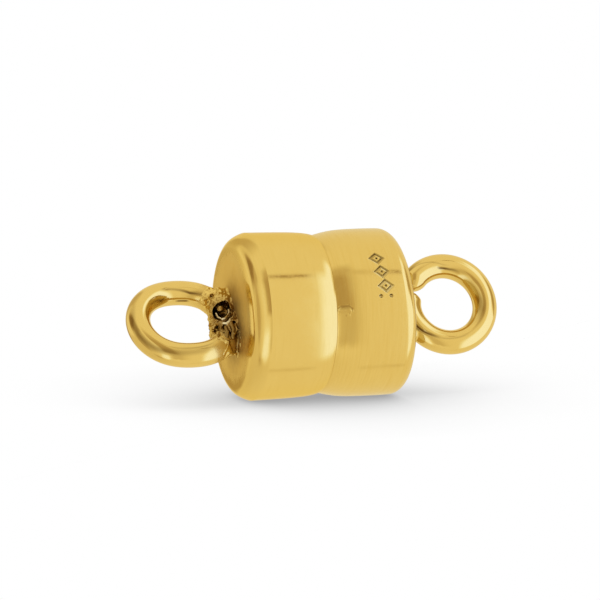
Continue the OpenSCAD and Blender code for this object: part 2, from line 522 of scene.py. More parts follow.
# the tip starts to bend inwards at this share of the way, and ends this far in
TIP_BEND_FROM, TIP_BEND = 0.86, 0.09
RING_STEPS = 300
# streaks of painted dark reflection, as on the left ring; the last is painted shade in the crevice by the
# solder
RIGHT_STREAKS = (
    (((151, 152, 0), (144, 150, 0.55), (133, 142, 0.5), (124, 130, 0)), 0.09, 0.010),
    (((135, 140, 0), (123, 127, 0.3), (108, 103, 0.3), (94, 80, 0.25), (80, 72, 0)), 0.05, 0.010),
    (((104, 70, 0), (98, 64, 0.9), (90, 60, 1.0), (82, 57, 0.8), (70, 57, 0.4), (58, 56, 0)), 0.075, 0.022),
    (((70, 56, 0), (42, 47, 0.22), (18, 49, 0.3), (0, 55, 0.55), (-19, 60, 0.5), (-35, 61, 0.25),
      (-52, 62, 0)), 0.20, 0.008),
    (((-116, 99, 0), (-108, 96, 0.3), (-92, 88, 0.3), (-75, 83, 0.3), (-64, 80, 0)), 0.05, 0.010),
    (((-160, 121, 0), (-150, 118, 1.0), (-138, 113, 1.0), (-126, 104, 0.8), (-108, 94, 0)), 0.09, 0.030),
)
turns = np.linspace(RING_START_TURN, RING_TIP_TURN, RING_STEPS)
inward = share_past(np.linspace(0, 1, RING_STEPS), TIP_BEND_FROM, 1 - TIP_BEND_FROM)
ring_r, angle = RIGHT_EYE["half_width"] - TIP_BEND * inward ** 2, np.radians(turns)
circle = np.stack([RIGHT_EYE["x"] + ring_r * np.cos(angle), ring_r * np.sin(angle)], -1)
right_ring = swept_wire("right_ring", circle, turns, RIGHT_ENDS, right_plane, RIGHT_STREAKS)

# %% [markdown]
# ## Solder as a field
# Solder creeps up the wire and out over the cup, so it has no section to turn or sweep. It is
# worked out as a field: a number at each place that is negative inside the metal. Fields join
# softly, and pits are taken out in the same way. Surface nets then find the skin: one point in
# each small cell that the surface passes through, moved onto it exactly.

# %% Field helpers
def soft_join(a, b, width):
    """The union of two fields with a rounded fillet of about that width."""
    share = np.clip(0.5 + 0.5 * (b - a) / width, 0, 1)
    return b + (a - b) * share - width * share * (1 - share)


def cut(*fields):
    """What all of the fields have in common, with sharp edges."""
    return np.maximum.reduce(fields)


def ball(p, at, radius):
    return np.linalg.norm(p - np.array(at), axis=-1) - radius


def rod(p, start, end, radius):
    start, end = np.array(start, float), np.array(end, float)
    line = end - start
    share = np.clip(((p - start) @ line) / (line @ line), 0, 1)
    return np.linalg.norm(p - start - share[..., None] * line, axis=-1) - radius


# the waves of one set of lumps lie between these shares of its closeness; the gain brings their sum
# to between about -1 and 1
LEAST_CLOSE, MOST_CLOSE, LUMP_GAIN = 0.6, 1.5, 0.7


def lumps(p, closeness, seed, waves=18):
    """Smooth random lumps between about -1 and 1, the same on every run.

    closeness is in waves per 2 pi mm."""
    draw = np.random.default_rng(seed)
    heading = draw.normal(size=(waves, 3))
    spread = draw.uniform(LEAST_CLOSE, MOST_CLOSE, waves)
    heading *= (closeness * spread / np.linalg.norm(heading, axis=1))[:, None]
    phase = draw.uniform(0, 2 * math.pi, waves)
    total = np.zeros(p.shape[:-1])
    for wave, start in zip(heading, phase):
        total += np.sin(p @ wave + start)
    return total * LUMP_GAIN / waves ** 0.5


def grain(p, height, closeness, seed):
    """Lumps of that height in mm."""
    return height * lumps(p, closeness, seed)


# %% Surface nets
CORNERS = np.array([(i, j, k) for i in (0, 1) for j in (0, 1) for k in (0, 1)])
CELL_EDGES = [(a, b) for a in range(8) for b in range(a + 1, 8)
              if np.abs(CORNERS[a] - CORNERS[b]).sum() == 1]
BOX_MARGIN = 0.05
# in parts of a cell: how far a slope is felt, and the longest move onto the surface
FELT_OVER, LONGEST_MOVE = 0.05, 0.6
# the square of a slope counts as at least this much, so that a flat place gives no wild move
LEAST_SLOPE = 0.05


def net_points(value, low, step):
    """One point for each cell of the grid that the surface passes through, and the cells' numbers."""
    across, deep, tall = (count - 1 for count in value.shape)
    sides = [value[i:across + i, j:deep + j, k:tall + k] for i, j, k in CORNERS]
    total = np.zeros(sides[0].shape + (3,))
    hits = np.zeros(sides[0].shape)
    for a, b in CELL_EDGES:
        crossed = (sides[a] < 0) != (sides[b] < 0)
        share = np.where(crossed, sides[a] / np.where(crossed, sides[a] - sides[b], 1), 0)
        place = CORNERS[a] + share[..., None] * (CORNERS[b] - CORNERS[a])
        total += np.where(crossed[..., None], place, 0)
        hits += crossed
    active = hits > 0
    number = np.full(active.shape, -1)
    number[active] = np.arange(active.sum())
    return low + step * (np.argwhere(active) + total[active] / hits[active][:, None]), number


def net_faces(inside, number):
    """A quad round each edge of the grid that goes through the surface, from the cells beside it."""
    faces = []
    for axis in range(3):
        u, v = (axis + 1) % 3, (axis + 2) % 3
        unit_u, unit_v = np.eye(3, dtype=int)[[u, v]]
        ahead = np.roll(inside, -1, axis=axis)
        for flips, order in ((inside & ~ahead, 1), (~inside & ahead, -1)):
            at = np.argwhere(flips)
            at = at[(at[:, u] > 0) & (at[:, v] > 0) & (at < number.shape).all(axis=1)]
            shifts = (0 * unit_u, unit_u, unit_u + unit_v, unit_v)
            quads = np.stack([number[tuple((at - shift).T)] for shift in shifts], -1)[:, ::order]
            faces += quads[(quads >= 0).all(axis=1)].tolist()
    return faces


def field_skin(name, field, plane, stretches, step):
    """The skin of a field as a piece with normals from the field's own slope, and its points.

    stretches are how far the field is looked at along, up and across a ring's plane."""
    corners = placed(np.stack(np.meshgrid(*stretches), -1).reshape(-1, 3), plane)
    low, high = corners.min(axis=0) - BOX_MARGIN, corners.max(axis=0) + BOX_MARGIN
    axes = [np.arange(a, b, step) for a, b in zip(low, high)]
    value = field(np.stack(np.meshgrid(*axes, indexing="ij"), -1))
    points, number = net_points(value, low, step)
    tiny = step * FELT_OVER

    def slope(p):
        return np.stack([(field(p + d) - field(p - d)) / (2 * tiny) for d in np.eye(3) * tiny], -1)

    for _ in range(2):
        g = slope(points)
        move = field(points)[:, None] * g / np.maximum((g * g).sum(axis=1, keepdims=True), LEAST_SLOPE)
        points = points - np.clip(move, -LONGEST_MOVE * step, LONGEST_MOVE * step)
    return finish_mesh(name, points, slope(points), net_faces(value < 0, number)), points


# %% [markdown]
# ## The left solder
# A rough mass fills the corner of the eye between the ring and the cup. Gas has left a deep crater
# in it, with a bead of metal inside and curled lips below, and lower down the solder is folded.
# The mass starts as a smooth rod that melts into the cup and the wire. A relief is then raised and
# sunk in it, and lips and folds are laid on as bent rods. All of it is drawn as it is seen from the
# front, in mm from the crater, because that is how a maker would look at it.

# %% Smooth mass of the left solder
# the solder counts the cup and the wire as this much smaller, so its skin starts just inside them
SKIN_INSET = 0.012
FOOT_X = HALF_LEN + 0.25
# both ends of the rod, along, up and across the ring's plane, and its radius; then its fillets
MASS_FROM, MASS_TO, MASS_R = (FOOT_X, -0.62, 0.06), (FOOT_X - 0.04, 0.62, 0.12), 0.61
FILLET_ON_CUP, FILLET_ON_WIRE, FILLET_BETWEEN = 0.12, 0.14, 0.03


def ring_field(q, eye):
    """Distance to the wire of a ring, in its own plane."""
    stretch = eye["half_len"] - eye["half_width"]
    x = q[..., 0] - eye["x"]
    x = np.sign(x) * np.maximum(np.abs(x) - stretch, 0)
    ring = np.abs(np.hypot(x, q[..., 1]) - eye["half_width"])
    return np.hypot(ring, q[..., 2]) - WIRE_R


def cup_end_field(q):
    """Distance to the cup's closed end."""
    return q[..., 0] - (HALF_LEN - SKIN_INSET)


def smooth_mass(q):
    """The solder as it would be without crater, folds and grain."""
    mass = rod(q, MASS_FROM, MASS_TO, MASS_R)
    on_cup = soft_join(mass, cup_end_field(q), FILLET_ON_CUP)
    on_wire = soft_join(mass, ring_field(q, LEFT_EYE) + SKIN_INSET, FILLET_ON_WIRE)
    return soft_join(on_cup, on_wire, FILLET_BETWEEN)


# %% Lips and folds of the left solder
SEEN_RIGHT = np.array(camera_right)
SEEN_UP = np.array(camera_up)
CRATER_AT, CRATER_R = (-3.21, 0.09), 0.36
# places along a line of sight, in mm toward the camera
SIGHT_LINE = np.linspace(3, -3, 601)[:, None]


def on_mass(x, y, sink):
    """The place on the smooth mass that is seen at x, y from the crater, sunk by that much."""
    start = np.array((0, 0, axis_at)) + (CRATER_AT[0] + x) * SEEN_RIGHT + (CRATER_AT[1] + y) * SEEN_UP
    line = start + SIGHT_LINE * np.array(toward_camera)
    inside = np.flatnonzero(smooth_mass(in_plane(line, left_plane)) < 0)
    return line[inside[0]] - sink * np.array(toward_camera)


BEAD, BEAD_R = on_mass(-0.09, 0.09, 0.07), 0.12
GAS_PIT, GAS_PIT_R = on_mass(-0.41, 0.54, 0.0), 0.085
# curled lips, then the burr and the folds: their thickness, how deep they lie, and their course
LIP_COURSES = (
    (0.036, 0.05, ((-0.24, -0.07), (-0.17, -0.20), (-0.08, -0.24))),
    (0.045, 0.03, ((-0.02, -0.27), (0.08, -0.24), (0.14, -0.17))),
    (0.038, 0.05, ((0.17, -0.12), (0.22, -0.03), (0.20, 0.06))),
    (0.048, 0.02, ((0.02, -0.42), (0.13, -0.42), (0.23, -0.35), (0.27, -0.27))))
FOLD_COURSES = (
    (0.034, 0.08, ((-0.30, 0.18), (-0.24, 0.32), (-0.10, 0.38))),
    (0.055, 0.00, ((0.12, 0.90), (0.22, 0.64), (0.31, 0.34))),
    (0.075, 0.02, ((0.30, -0.44), (0.38, -0.62), (0.35, -0.90))),
    (0.070, 0.04, ((0.10, -0.56), (0.17, -0.74), (0.15, -0.92))),
    (0.060, 0.05, ((0.46, -0.46), (0.48, -0.74))),
    (0.050, 0.04, ((-0.10, -0.45), (-0.08, -0.62))))


def laid_on(courses):
    """The same bent rods in the clasp's frame."""
    return [(radius, [on_mass(x, y, sink) for x, y in course]) for radius, sink, course in courses]


LIPS, FOLDS = laid_on(LIP_COURSES), laid_on(FOLD_COURSES)
print(len(LIPS), "curled lips and", len(FOLDS), "folds laid on the solder")


# %% Relief of the left solder
# small pits: seen place, radius and depth
PITS = (((-0.41, 0.54), 0.085, 0.20), ((-0.20, -0.58), 0.13, 0.22), ((-0.27, -0.72), 0.07, 0.14),
        ((0.06, -0.56), 0.10, 0.18), ((0.24, -0.80), 0.09, 0.18), ((0.40, -0.40), 0.08, 0.16),
        ((0.15, -0.33), 0.07, 0.18), ((0.33, 0.00), 0.07, 0.08), ((0.05, -1.02), 0.08, 0.12))
# distances up and down count only this much in a pit, so that it is taller than wide
PIT_SQUASH = 0.8
CRATER_DEPTH, CRATER_RUBBLE, CRATER_WALL = 0.34, 0.20, 0.10
# height, closeness and seed of the lumps on the skin, and of those that make the crater ragged
LARGE_LUMPS, SHARP_LUMPS, FINE_LUMPS = (0.06, 7.0, 5), (0.05, 17.0, 3), (0.014, 40.0, 4)
RAGGED_EDGE = 0.07, 9.0, 21
# closeness of the ridges along each axis and their seed, in the folds and in the crater; and how
# steeply a ridge falls from its crest
FOLD_RIDGES, RUBBLE_RIDGES, RIDGE_FALL = ((17, 17, 6), 8), ((12, 12, 12), 31), 1.6
# the solder is folded from this far under the crater, and wholly so this much lower; the folds'
# height, and how far they are sunk
FOLDED_FROM, FOLDED_OVER, FOLD_HEIGHT, FOLD_SINK = 0.30, 0.25, 0.20, 0.13


def ridges(p, closeness, seed):
    """Sharp crests between smooth valleys, from 0 to about 1."""
    return 1 - share_past(RIDGE_FALL * np.abs(lumps(p * np.array(closeness), 1.0, seed)), 0)


def nearest_rod(p, courses):
    """Distance to the nearest of some bent rods."""
    pieces = [(start, end, radius) for radius, course in courses for start, end in zip(course, course[1:])]
    nearest = rod(p, *pieces[0])
    for piece in pieces[1:]:
        nearest = np.minimum(nearest, rod(p, *piece))
    return nearest


def solder_relief(p):
    """Height in mm of the relief at points of the row frame."""
    from_axis = p - np.array((0, 0, axis_at))
    x = from_axis @ SEEN_RIGHT - CRATER_AT[0]
    y = from_axis @ SEEN_UP - CRATER_AT[1]
    height = grain(p, *LARGE_LUMPS) + np.abs(grain(p, *SHARP_LUMPS)) + grain(p, *FINE_LUMPS)
    low = share_past(-y, FOLDED_FROM, FOLDED_OVER)
    height += low * (FOLD_HEIGHT * ridges(p, *FOLD_RIDGES) - FOLD_SINK)
    out = np.hypot(x, y) + grain(p, *RAGGED_EDGE)
    floor_depth = CRATER_DEPTH - CRATER_RUBBLE * ridges(p, *RUBBLE_RIDGES) ** 2
    height -= floor_depth * share_past(-out, -CRATER_R, CRATER_WALL)
    for at, radius, depth in PITS:
        height -= depth * dome(np.hypot(x - at[0], (y - at[1]) * PIT_SQUASH), radius) ** 2
    return height


# %% Left solder
# the solder ends inside this rod, and its relief fades out before it does
LEFT_REACH = (FOOT_X, -0.85, 0.08), (FOOT_X, 0.68, 0.08), 1.12
FADE_FROM, FADE_OVER = 0.20, 0.30
FOLD_JOIN, LIP_JOIN, FOLD_GRAIN = 0.05, 0.02, (0.02, 11.0, 6)
# the solder's skin ends this far inside the cup's closed end, where nothing shows it
INSIDE_CUP = 0.25


def left_solder_field(p):
    q = in_plane(p, left_plane)
    reach = rod(q, *LEFT_REACH)
    skin = smooth_mass(q) - share_past(-reach, FADE_FROM, FADE_OVER) * solder_relief(p)
    skin = soft_join(skin, nearest_rod(p, FOLDS) + grain(p, *FOLD_GRAIN), FOLD_JOIN)
    skin = soft_join(skin, np.minimum(ball(p, BEAD, BEAD_R), nearest_rod(p, LIPS)), LIP_JOIN)
    return cut(skin, -ball(p, GAS_PIT, GAS_PIT_R), reach, (HALF_LEN - INSIDE_CUP) - q[..., 0])


LEFT_STRETCHES, LEFT_STEP = ((HALF_LEN - 0.3, HALF_LEN + 1.4), (-2.0, 1.85), (-1.05, 1.15)), 0.022
left_solder, solder_points = field_skin("left_solder", left_solder_field, left_plane,
                                        LEFT_STRETCHES, LEFT_STEP)


# %% Painted shade and painted glints on the left solder
# painted shade lies from this far under the smooth mass, and is whole this much further in
HOLLOW_FROM, HOLLOW_OVER = 0.02, 0.15
# share of painted shade beside the folds and how far it spreads; how far the painted glint spreads
# on the lips
FOLD_SHADE, SHADE_SPREAD, GLINT_SPREAD = 0.4, 0.03, 0.015
# the painted shade is thinner in some places: its usual and least share, and the lumps that it
# follows; the painted glint is missing where its own lumps are low
USUAL_SHADE, LEAST_SHADE, SHADE_LUMPS = 0.85, 0.45, (0.7, 14.0, 31)
GLINT_LUMPS, GLINT_FROM = (13.0, 9), -0.75
sunk = -smooth_mass(in_plane(solder_points, left_plane))
hollow = share_past(sunk, HOLLOW_FROM, HOLLOW_OVER)
hollow *= np.clip(USUAL_SHADE + grain(solder_points, *SHADE_LUMPS), LEAST_SHADE, 1)
folded = 1 - share_past(nearest_rod(solder_points, FOLDS[2:]), 0, SHADE_SPREAD)
hollow = np.maximum(hollow, FOLD_SHADE * folded)
# a pale colour on the curled lips paints their white glints
bare_glint = 1 - share_past(nearest_rod(solder_points, LIPS), 0, GLINT_SPREAD)
bare_glint *= share_past(lumps(solder_points, *GLINT_LUMPS), GLINT_FROM)
keep_share(left_solder, "hollow", hollow)
keep_share(left_solder, "bare_glint", bare_glint)
print("solder lies", round(float(hollow.mean()), 2), "hollow on average")

# %% [markdown]
# ## The right solder
# Only a small foot holds this ring: a bead from the cup to the wire's underside. It leaves a dark
# crevice under the wire, where the two don't quite meet, and painted shade darkens the foot there.

# %% Right solder
CREVICE_COURSE = np.array(((3.58, -0.80, 0.39), (3.83, -1.08, 0.41), (4.16, -1.28, 0.43)))
CREVICE = [(0, placed(CREVICE_COURSE, right_plane))]
CREVICE_R, CREVICE_SHADE_FROM, CREVICE_SHADE_OVER = 0.065, 0.05, 0.09
FOOT_FROM, FOOT_TO, FOOT_R = (HALF_LEN + 0.15, -0.15, 0), (HALF_LEN + 0.55, -0.98, 0.02), 0.36
FOOT_ON_CUP, FOOT_ON_WIRE, FOOT_GRAIN = 0.14, 0.06, (0.015, 7.0, 11)
RIGHT_REACH = (HALF_LEN + 0.2, -0.1, 0), (HALF_LEN + 0.62, -0.95, 0), 0.62


def right_solder_field(p):
    q = in_plane(p, right_plane)
    foot = rod(q, FOOT_FROM, FOOT_TO, FOOT_R) - grain(q, *FOOT_GRAIN)
    joined = soft_join(foot, cup_end_field(q), FOOT_ON_CUP)
    joined = soft_join(joined, ring_field(q, RIGHT_EYE) + SKIN_INSET, FOOT_ON_WIRE)
    return cut(joined, rod(q, *RIGHT_REACH), CREVICE_R - nearest_rod(p, CREVICE),
               (HALF_LEN - INSIDE_CUP) - q[..., 0])


RIGHT_STRETCHES, RIGHT_STEP = ((HALF_LEN - 0.3, HALF_LEN + 1.3), (-1.7, 0.7), (-0.8, 0.8)), 0.025
right_solder, foot_points = field_skin("right_solder", right_solder_field, right_plane,
                                       RIGHT_STRETCHES, RIGHT_STEP)
# painted shade, strongest at the crevice and fading away from it
crevice_shade = 1 - share_past(nearest_rod(foot_points, CREVICE), CREVICE_SHADE_FROM, CREVICE_SHADE_OVER)
keep_share(right_solder, "hollow", crevice_shade)

# %% [markdown]
# ## Node helpers
# Materials are small networks of nodes. One helper adds a node and fills its inputs: an input that
# is given another node's output is joined to it, and any other value is simply set. Short ones
# build on it, for sums, vectors, noise, a change of range and a mix of two colours.

# %% Node helpers
def add_node(tree, kind, inputs=None, **properties):
    """A node of that kind. Each input is a plain value, or another node's output to join."""
    node = tree.nodes.new(kind)
    for key, value in properties.items():
        setattr(node, key, value)
    for key, value in (inputs or {}).items():
        if isinstance(value, bpy.types.NodeSocket):
            tree.links.new(value, node.inputs[key])
        else:
            node.inputs[key].default_value = value
    return node


def calculate(tree, operation, *values, clamp=False):
    node = add_node(tree, "ShaderNodeMath", dict(enumerate(values)), operation=operation, use_clamp=clamp)
    return node.outputs[0]


def vector_step(tree, operation, inputs):
    return add_node(tree, "ShaderNodeVectorMath", inputs, operation=operation)


def noise(tree, position, scale, detail):
    inputs = {"Vector": position, "Scale": scale, "Detail": detail}
    return add_node(tree, "ShaderNodeTexNoise", inputs).outputs["Fac"]


def remap(tree, value, low, high, to_low=0.0, to_high=1.0, kind="LINEAR"):
    inputs = {"Value": value, "From Min": low, "From Max": high, "To Min": to_low, "To Max": to_high}
    return add_node(tree, "ShaderNodeMapRange", inputs, interpolation_type=kind).outputs["Result"]


def mix_colour(tree, share, first, second):
    return add_node(tree, "ShaderNodeMix", {0: share, 6: first, 7: second}, data_type="RGBA").outputs[2]


def new_material(name):
    """A material with its tree of nodes and its shader."""
    material = bpy.data.materials.new(name)
    material.use_nodes = True
    return material, material.node_tree, material.node_tree.nodes["Principled BSDF"]


def new_group(name, inputs, outputs):
    """A shader node group with named sockets: (name, kind, default) going in, (name, kind) coming out."""
    group = bpy.data.node_groups.new(name, "ShaderNodeTree")
    for label, kind, default in inputs:
        socket = group.interface.new_socket(label, in_out="INPUT", socket_type=kind)
        if default is not None:
            socket.default_value = default
    for label, kind in outputs:
        group.interface.new_socket(label, in_out="OUTPUT", socket_type=kind)
    return group, group.nodes.new("NodeGroupInput").outputs, group.nodes.new("NodeGroupOutput").inputs


# %% [markdown]
# ## Plated, polished metal
# The plate is even, but never perfect. Its colour drifts slightly, the polish is softer in some
# places, the wheel has left faint lines round the barrel, and the thin sheet is a little wavy.
# The group works in millimetres and hands out a colour, a roughness and a height. Several finishes
# use it, each with its own colours and its own share of lines and waves.

# %% Plate group
FLOAT, VECTOR, COLOUR = "NodeSocketFloat", "NodeSocketVector", "NodeSocketColor"
WHITE = (1, 1, 1, 1)
# noise is squeezed along the barrel, so that its lumps become fine lines round it
LINE_SQUEEZE = (22.0, 0.7, 0.7)
LINE_COLOUR, LINE_ROUGHNESS, LINE_HEIGHT = 0.8, 0.10, 0.12
# from which to which value the noise counts for the lines, and for the slow drift of the colour
# with its greatest share; then the same for the polish, with its change of roughness
LINE_SPAN, DRIFT_SPAN, DRIFT_SHARE = (0.24, 0.42), (0.35, 0.75), 0.35
POLISH_SPAN, POLISH_CHANGE = (0.3, 0.7), (-0.03, 0.05)
# scale and detail of the noise behind the lines, the colour, the polish and the waves
LINE_NOISE, COLOUR_NOISE, POLISH_NOISE, WAVE_NOISE = (1.0, 2.0), (0.9, 3.0), (9.0, 4.0), (0.8, 1.0)


def make_plate_group():
    group, given, made = new_group(
        "plated_metal",
        [("Position", VECTOR, None), ("Plate", COLOUR, WHITE), ("Deep", COLOUR, WHITE),
         ("Softness", FLOAT, 0.12), ("Lines", FLOAT, 0.3), ("Waves", FLOAT, 1.0)],
        [("Colour", COLOUR), ("Roughness", FLOAT), ("Height", FLOAT)])
    position = given["Position"]
    squeezed = vector_step(group, "MULTIPLY", {0: position, 1: LINE_SQUEEZE}).outputs[0]
    lines = calculate(group, "MULTIPLY", noise(group, squeezed, *LINE_NOISE), given["Lines"])

    drift = remap(group, noise(group, position, *COLOUR_NOISE), *DRIFT_SPAN, to_high=DRIFT_SHARE)
    deep = calculate(group, "MAXIMUM", remap(group, lines, *LINE_SPAN, to_high=LINE_COLOUR), drift)
    group.links.new(mix_colour(group, deep, given["Plate"], given["Deep"]), made["Colour"])

    uneven = remap(group, noise(group, position, *POLISH_NOISE), *POLISH_SPAN, *POLISH_CHANGE)
    uneven = calculate(group, "MULTIPLY_ADD", lines, LINE_ROUGHNESS, uneven)
    group.links.new(calculate(group, "ADD", uneven, given["Softness"], clamp=True), made["Roughness"])

    waves = calculate(group, "MULTIPLY", noise(group, position, *WAVE_NOISE), given["Waves"])
    group.links.new(calculate(group, "MULTIPLY_ADD", lines, LINE_HEIGHT, waves), made["Height"])
    return group


plate_group = make_plate_group()
print(plate_group.name, "has", len(plate_group.nodes), "nodes")

# %% [markdown]
# ## A patch that fades out
# Flux and heat leave brown oxide where solder meets the cup, and the file leaves satin on its end.
# Round the left solder the brown also paints the dark reflection of the solder and ring.
# Both are patches. This group gives a mask that is strongest near a point and dies away with
# distance. Squashing the distance makes the patch long or flat, and noise breaks up its edge.

# %% Patch group
EDGE_NOISE, EDGE_WANDER = (2.6, 5.0), 0.5


def make_patch_group():
    group, given, made = new_group(
        "fading_patch",
        [("Position", VECTOR, None), ("Middle", VECTOR, (0, 0, 0)), ("Squash", VECTOR, (1, 1, 1)),
         ("Inner", FLOAT, 0.5), ("Outer", FLOAT, 1.2)],
        [("Mask", FLOAT)])
    position = given["Position"]
    away = vector_step(group, "SUBTRACT", {0: position, 1: given["Middle"]})
    squashed = vector_step(group, "MULTIPLY", {0: away.outputs[0], 1: given["Squash"]})
    distance = vector_step(group, "LENGTH", {0: squashed.outputs[0]}).outputs["Value"]
    ragged = calculate(group, "MULTIPLY_ADD", noise(group, position, *EDGE_NOISE), EDGE_WANDER, distance)
    fade = remap(group, ragged, given["Inner"], given["Outer"], 1.0, 0.0, kind="SMOOTHSTEP")
    group.links.new(fade, made["Mask"])
    return group


patch_group = make_patch_group()
print(patch_group.name, "has", len(patch_group.nodes), "nodes")

# %% [markdown]
# ## A metal finish
# Gold and nickel start alike: a fully metallic shader with the plate's colour, roughness and height
# on it. Metal takes its colour from what it reflects, so the base colour is that of real plate.
# Positions are turned into millimetres first, so that the noise has the scale of the real thing.
# On the plate come a brown heat stain, a satin patch, a darker colour where the mesh's stored
# share of hollows says so, and a paler one where the solder's stored share of glints does. The
# darker colour is tarnish in dents and painted reflection and painted shade elsewhere, the paler one
# paints glints, and on the left cup the stain also paints a dark reflection. Dark metal turns grey
# at a glancing angle, so stained pieces get a warm edge tint.

# %% Metal recipe
OXIDE = (0.44, 0.28, 0.10, 1)
SATIN_ROUGHNESS, HOLLOW_ROUGHNESS = 0.38, 0.05


def metal_finish(name, metal, softness, lines, waves, stain=None, stain_roughness=0, satin=None,
                 hollows=None, bare_glint=None, edge=WHITE):
    """A metal material; metal gives its two plate colours and the height of its relief in mm.

    stain and satin are patches; hollows and bare are the darker and the paler colour that go where
    the mesh's stored shares say: tarnish, painted reflection and painted shade, and painted glints."""
    material, tree, shader = new_material(name)
    shader.inputs["Metallic"].default_value = 1.0
    shader.inputs["Specular Tint"].default_value = edge
    place = add_node(tree, "ShaderNodeTexCoord").outputs["Object"]
    position = vector_step(tree, "SCALE", {0: place, "Scale": 1 / MM}).outputs[0]

    def from_group(group, values):
        return add_node(tree, "ShaderNodeGroup", {"Position": position, **values}, node_tree=group).outputs

    def stored_share(kept_as):
        return add_node(tree, "ShaderNodeAttribute", attribute_name=kept_as).outputs["Fac"]

    def rougher(share, by, roughness):
        return calculate(tree, "MULTIPLY_ADD", share, by, roughness, clamp=True)

    (plate, deep), bump_mm = metal
    relief = {"Plate": plate, "Deep": deep, "Softness": softness, "Lines": lines, "Waves": waves}
    colour, roughness, height = from_group(plate_group, relief)
    if stain:
        stained = from_group(patch_group, stain)["Mask"]
        colour = mix_colour(tree, stained, colour, OXIDE)
        roughness = rougher(stained, stain_roughness, roughness)
    if satin:
        roughness = rougher(from_group(patch_group, satin)["Mask"], SATIN_ROUGHNESS, roughness)
    if hollows:
        share = stored_share("hollow")
        colour = mix_colour(tree, share, colour, hollows)
        roughness = rougher(share, HOLLOW_ROUGHNESS, roughness)
    if bare_glint:
        colour = mix_colour(tree, stored_share("bare_glint"), colour, bare_glint)
    bump = add_node(tree, "ShaderNodeBump", {"Height": height, "Strength": 1.0, "Distance": bump_mm * MM})
    tree.links.new(colour, shader.inputs["Base Color"])
    tree.links.new(roughness, shader.inputs["Roughness"])
    tree.links.new(bump.outputs["Normal"], shader.inputs["Normal"])
    print(name, "has", len(tree.nodes), "nodes")
    return material


# %% [markdown]
# ## Gold, piece by piece
# The left cup has a satin end with a stain round the solder, partly oxide and partly painted
# reflection of the dark solder and ring, and the left wire was heated, so it is softer near the
# cup. Both wires carry painted dark reflections in their streaks. The solder is stained low down,
# with painted shade in its pits and beside its folds and painted glints on its lips. The right half
# was polished last: its cup is bright, with a little tarnish left in the punched marks, and its foot
# of solder is clean, apart from painted shade at the crevice.

# %% Gold
GOLD = ((0.97, 0.735, 0.27, 1), (0.93, 0.67, 0.21, 1)), 0.012
# the dark colour of painted shade in the solder's pits, beside its folds and at the foot's crevice
PAINTED_SHADE = (0.10, 0.055, 0.016, 1)
# tarnish in the right cup's dents, and painted dark reflection in the wires' streaks
TARNISH_AND_PAINTED_REFLECTION = (0.17, 0.08, 0.018, 1)
# pale bare metal, whose colour paints the white glints on the solder's lips
BARE_SOLDER_GLINT = (0.98, 0.90, 0.70, 1)
WARM_EDGE = (1, 0.90, 0.60, 1)

# round the solder the left cup's stain is partly oxide and partly painted reflection of the dark solder and
# ring
cup_stain_and_reflection = {"Middle": (-3.08, -0.30, 2.70), "Squash": (1.0, 1.0, 0.75), "Inner": 0.50, "Outer": 1.80}
satin_end = {"Middle": (-3.2, 0.0, 3.0), "Squash": (3.0, 1.0, 1.0), "Inner": 2.2, "Outer": 2.8}
solder_stain = {"Middle": (-3.25, -0.6, 2.95), "Squash": (1.0, 0.8, 0.65), "Inner": 0.60, "Outer": 1.35}
heated_end = {"Middle": (-3.0, 0.0, 3.0), "Squash": (1.0, 0.1, 0.1), "Inner": 0.95, "Outer": 1.75}
right_cup_gold = metal_finish("cup_gold", GOLD, softness=0.10, lines=0.6, waves=1.0, hollows=TARNISH_AND_PAINTED_REFLECTION)
left_cup_gold = metal_finish("left_cup_gold", GOLD, softness=0.10, lines=0.5, waves=1.0, stain=cup_stain_and_reflection,
                             stain_roughness=0.15, satin=satin_end, edge=WARM_EDGE)
left_wire_gold = metal_finish("left_wire_gold", GOLD, softness=0.08, lines=0.0, waves=1.2,
                              satin=heated_end, hollows=TARNISH_AND_PAINTED_REFLECTION)
right_wire_gold = metal_finish("wire_gold", GOLD, softness=0.08, lines=0.0, waves=1.2, hollows=TARNISH_AND_PAINTED_REFLECTION)
solder_gold = metal_finish("solder_gold", GOLD, softness=0.10, lines=0.0, waves=2.0, stain=solder_stain,
                           stain_roughness=0.05, hollows=PAINTED_SHADE, bare_glint=BARE_SOLDER_GLINT, edge=WARM_EDGE)
foot_gold = metal_finish("foot_gold", GOLD, softness=0.12, lines=0.0, waves=1.5, hollows=PAINTED_SHADE)

# %% [markdown]
# ## The magnets
# The discs are CAD solids and stay as they are. They are hidden while the clasp is closed. Their
# bright nickel plate is cooler and a little softer than the gold.

# %% Magnet finish
NICKEL = ((0.80, 0.79, 0.80, 1), (0.66, 0.65, 0.66, 1)), 0.01

magnet_nickel = metal_finish("magnet_nickel", NICKEL, softness=0.2, lines=0.2, waves=0.6)
for node_name in ("left_magnet", "right_magnet"):
    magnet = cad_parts[node_name]
    magnet.data.materials.clear()
    magnet.data.materials.append(magnet_nickel)


# %% [markdown]
# ## Put the pieces on their bodies
# Each skin rides on the body of the solid that it stands for, so a pose of the clasp moves the
# skins as well.

# %% Ride
for piece, body, node_name, finish in (
        (left_cup, "left_side", "left_half", left_cup_gold),
        (left_ring, "left_side", "left_half", left_wire_gold),
        (left_solder, "left_side", "left_half", solder_gold),
        (right_cup, "right_side", "right_half", right_cup_gold),
        (right_ring, "right_side", "right_half", right_wire_gold),
        (right_solder, "right_side", "right_half", foot_gold)):
    piece.data.materials.append(finish)
    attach(piece, body)
    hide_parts(node_name)
    print(piece.name, "rides on", body, "in", finish.name)


